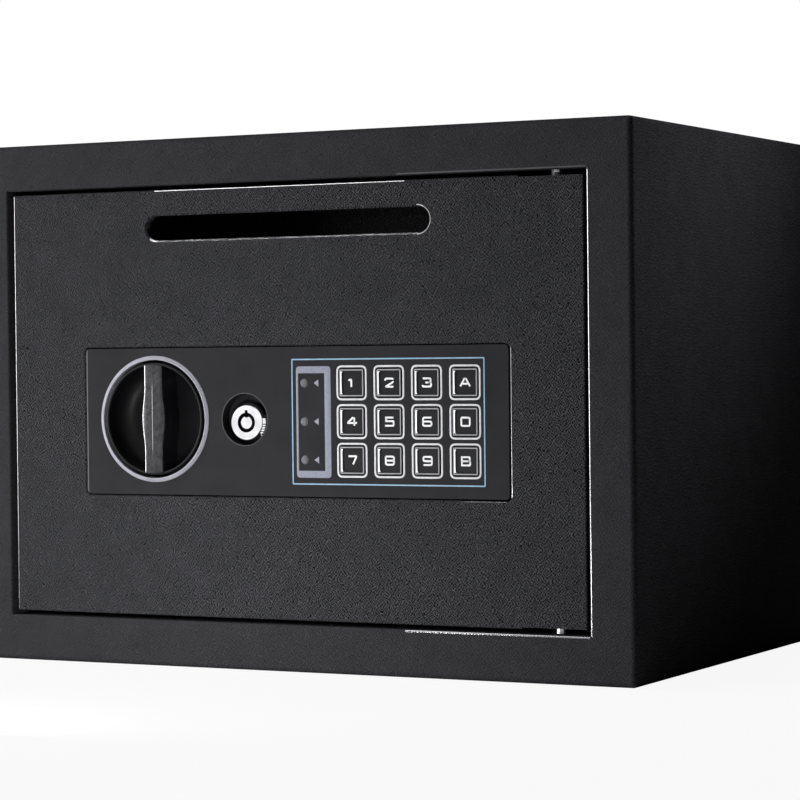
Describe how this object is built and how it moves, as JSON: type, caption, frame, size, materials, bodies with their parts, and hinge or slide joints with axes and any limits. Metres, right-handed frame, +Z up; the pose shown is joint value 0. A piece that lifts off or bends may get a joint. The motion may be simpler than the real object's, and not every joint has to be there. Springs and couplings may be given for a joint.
{
  "type": "electronic drop safe",
  "caption": "Box safe with a deposit slot across the top of its hinged door, a keypad panel, a rotary knob with sliding bolts and a key override lock.",
  "frame": {"origin": "on the floor, under the middle of the case", "axes": "+X to the right seen from the front, +Y from the door into the safe, +Z up"},
  "size_m": [0.35, 0.25, 0.25],
  "materials": {
    "case_paint": "matt powder coat with a fine grain",
    "door_paint": "matt powder coat with a fine grain",
    "mat_felt": "dark needle felt",
    "panel_plastic": "fine matt texture",
    "bezel_silver": "silver lacquer",
    "knob_plastic": "satin",
    "key_plastic": "fine matt texture",
    "rubber": "matt",
    "board": "solder resist",
    "lamp": "diffuse lens",
    "black_plastic": "plain",
    "cover_plastic": "fine matt texture",
    "red_plastic": "plain",
    "chrome": "polished",
    "steel": "turned",
    "zinc_plate": "zinc plated",
    "brass": "turned",
    "coil_copper": "enamelled wire",
    "battery_wrap": "plain sleeve",
    "cable_grey": "plain"
  },
  "bodies": {
    "case": {"case_shell": "case_paint", "back_panel": "case_paint", "door_stop": "case_paint", "floor_mat": "mat_felt"},
    "door": {"door_plate": "door_paint", "hinge_brackets": "door_paint", "hinge_pins": "steel", "slot_baffle": "door_paint", "panel_tray": "door_paint", "control_panel": "panel_plastic", "knob_bezel": "bezel_silver", "keypad_mat": "rubber", "circuit_board": "board", "indicator_leds": "lamp", "buzzer": "black_plastic", "panel_screws": "steel", "lock_barrel": "chrome", "lock_nut": "steel", "shaft_bush": "brass", "mechanism_plate": "zinc_plate", "carriage_posts": "steel", "solenoid_frame": "zinc_plate", "solenoid_coil": "coil_copper", "plunger_spring": "steel", "inner_cover": "cover_plastic", "cover_posts": "steel", "cover_screws": "steel", "battery_box": "black_plastic", "batteries": "battery_wrap", "ribbon_cable": "cable_grey", "reset_switch": "black_plastic"},
    "knob": {"knob": "knob_plastic", "knob_shaft": "steel", "drive_cam": "steel"},
    "bolt_work": {"bolt_carriage": "zinc_plate", "bolt_upper": "chrome", "bolt_lower": "chrome"},
    "lock_rotor": {"lock_plug": "chrome", "lock_cam": "steel"},
    "plunger": {"solenoid_plunger": "steel"},
    "reset_button": {"reset_button": "red_plastic"},
    "battery_cover": {"battery_cover": "cover_plastic"},
    "key_1": {"key_1": "key_plastic"},
    "key_2": {"key_2": "key_plastic"},
    "key_3": {"key_3": "key_plastic"},
    "key_a": {"key_a": "key_plastic"},
    "key_4": {"key_4": "key_plastic"},
    "key_5": {"key_5": "key_plastic"},
    "key_6": {"key_6": "key_plastic"},
    "key_0": {"key_0": "key_plastic"},
    "key_7": {"key_7": "key_plastic"},
    "key_8": {"key_8": "key_plastic"},
    "key_9": {"key_9": "key_plastic"},
    "key_b": {"key_b": "key_plastic"}
  },
  "joints": [
    {"name": "door_swing", "type": "hinge", "parent": "case", "child": "door", "pos_m": [0.1354, -0.116, 0.125], "axis": [0, 0, 1], "range_deg": [0, 100]},
    {"name": "knob_turn", "type": "hinge", "parent": "door", "child": "knob", "pos_m": [-0.0713, -0.117, 0.1174], "axis": [0, -1, 0], "range_deg": [0, 90]},
    {"name": "bolt_slide", "type": "slide", "parent": "door", "child": "bolt_work", "axis": [-1, 0, 0], "range_m": [0, 0.01414]},
    {"name": "lock_turn", "type": "hinge", "parent": "door", "child": "lock_rotor", "pos_m": [-0.022, -0.115, 0.1157], "axis": [0, 1, 0], "range_deg": [0, 90]},
    {"name": "plunger_lift", "type": "slide", "parent": "door", "child": "plunger", "axis": [0, 0, 1], "range_m": [0, 0.003], "deforming": ["plunger_spring"]},
    {"name": "key_1_press", "type": "slide", "parent": "door", "child": "key_1", "axis": [0, 1, 0], "range_m": [0, 0.001], "stiffness_N_per_m": 400},
    {"name": "key_2_press", "type": "slide", "parent": "door", "child": "key_2", "axis": [0, 1, 0], "range_m": [0, 0.001], "stiffness_N_per_m": 400},
    {"name": "key_3_press", "type": "slide", "parent": "door", "child": "key_3", "axis": [0, 1, 0], "range_m": [0, 0.001], "stiffness_N_per_m": 400},
    {"name": "key_a_press", "type": "slide", "parent": "door", "child": "key_a", "axis": [0, 1, 0], "range_m": [0, 0.001], "stiffness_N_per_m": 400},
    {"name": "key_4_press", "type": "slide", "parent": "door", "child": "key_4", "axis": [0, 1, 0], "range_m": [0, 0.001], "stiffness_N_per_m": 400},
    {"name": "key_5_press", "type": "slide", "parent": "door", "child": "key_5", "axis": [0, 1, 0], "range_m": [0, 0.001], "stiffness_N_per_m": 400},
    {"name": "key_6_press", "type": "slide", "parent": "door", "child": "key_6", "axis": [0, 1, 0], "range_m": [0, 0.001], "stiffness_N_per_m": 400},
    {"name": "key_0_press", "type": "slide", "parent": "door", "child": "key_0", "axis": [0, 1, 0], "range_m": [0, 0.001], "stiffness_N_per_m": 400},
    {"name": "key_7_press", "type": "slide", "parent": "door", "child": "key_7", "axis": [0, 1, 0], "range_m": [0, 0.001], "stiffness_N_per_m": 400},
    {"name": "key_8_press", "type": "slide", "parent": "door", "child": "key_8", "axis": [0, 1, 0], "range_m": [0, 0.001], "stiffness_N_per_m": 400},
    {"name": "key_9_press", "type": "slide", "parent": "door", "child": "key_9", "axis": [0, 1, 0], "range_m": [0, 0.001], "stiffness_N_per_m": 400},
    {"name": "key_b_press", "type": "slide", "parent": "door", "child": "key_b", "axis": [0, 1, 0], "range_m": [0, 0.001], "stiffness_N_per_m": 400},
    {"name": "reset_press", "type": "slide", "parent": "door", "child": "reset_button", "axis": [0, -1, 0], "range_m": [0, 0.0015], "stiffness_N_per_m": 400},
    {"name": "battery_cover_slide", "type": "slide", "parent": "door", "child": "battery_cover", "axis": [1, 0, 0], "range_m": [0, 0.012]}
  ],
  "couplings": [
    {"joint": "knob_turn", "follows": "bolt_slide", "rad_per_m": 111.07},
    {"joint": "lock_turn", "follows": "plunger_lift", "rad_per_m": 523.6}
  ]
}
